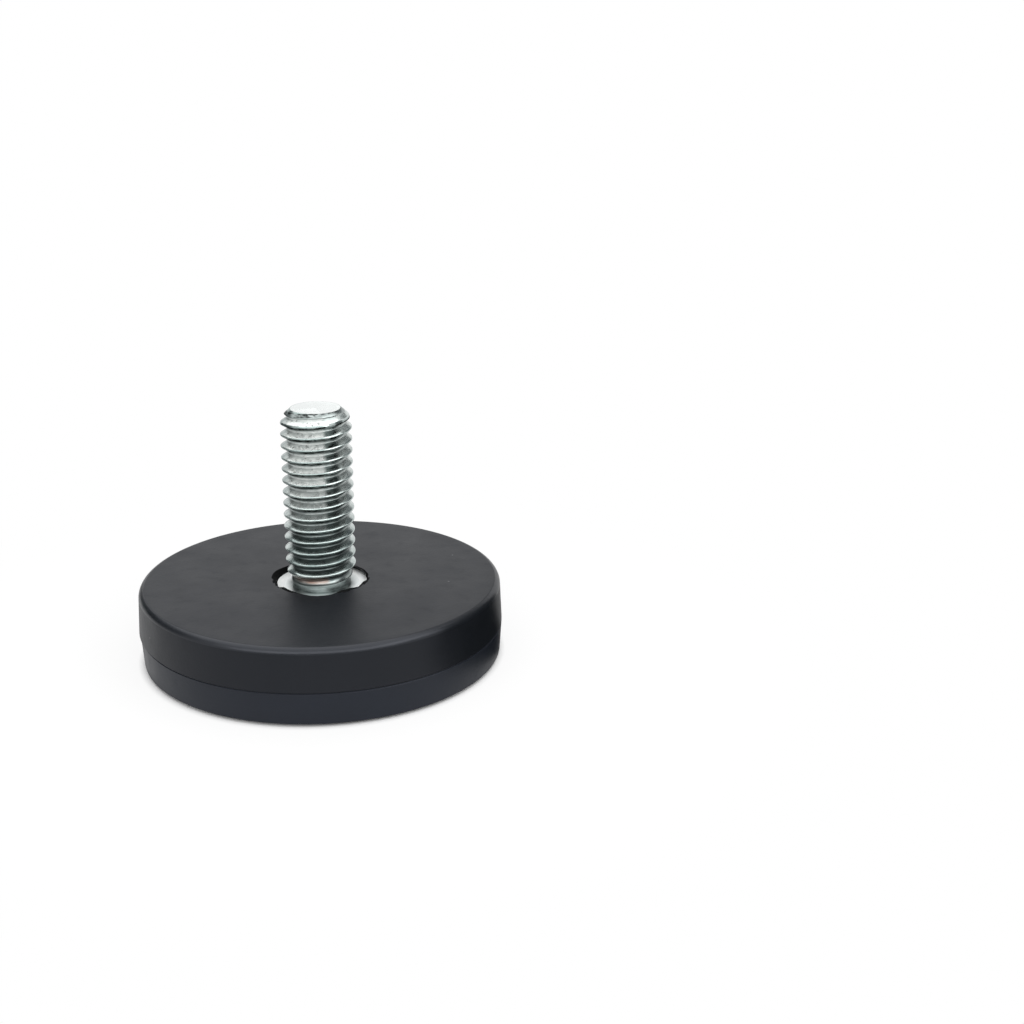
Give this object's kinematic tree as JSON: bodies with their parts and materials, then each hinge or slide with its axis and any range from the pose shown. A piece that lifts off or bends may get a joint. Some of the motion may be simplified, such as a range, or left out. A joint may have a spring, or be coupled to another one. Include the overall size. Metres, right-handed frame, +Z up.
{
  "type": "magnetic mount",
  "caption": "Round rubber-covered magnetic mount with a flat magnet face below and an upright M6 threaded stud in a hole on top.",
  "frame": {"origin": "centre of the magnet face, on the surface that the mount stands on", "axes": "+Z up along the stud; X and Y lie in the magnet face, with +X towards the side where the lower shell is flush"},
  "size_m": [0.031, 0.031, 0.0216],
  "materials": {
    "rubber": "moulded, matt charcoal",
    "zinc_plated_plate": "zinc plated",
    "zinc_plated_stud": "zinc plated, rolled thread",
    "nickel_plated_magnet": "nickel plated"
  },
  "bodies": {
    "root": {"upper_shell": "rubber", "lower_shell": "rubber", "back_plate": "zinc_plated_plate", "stud": "zinc_plated_stud", "magnet_1": "nickel_plated_magnet", "magnet_2": "nickel_plated_magnet", "magnet_3": "nickel_plated_magnet", "magnet_4": "nickel_plated_magnet", "magnet_5": "nickel_plated_magnet", "magnet_6": "nickel_plated_magnet"}
  },
  "joints": []
}
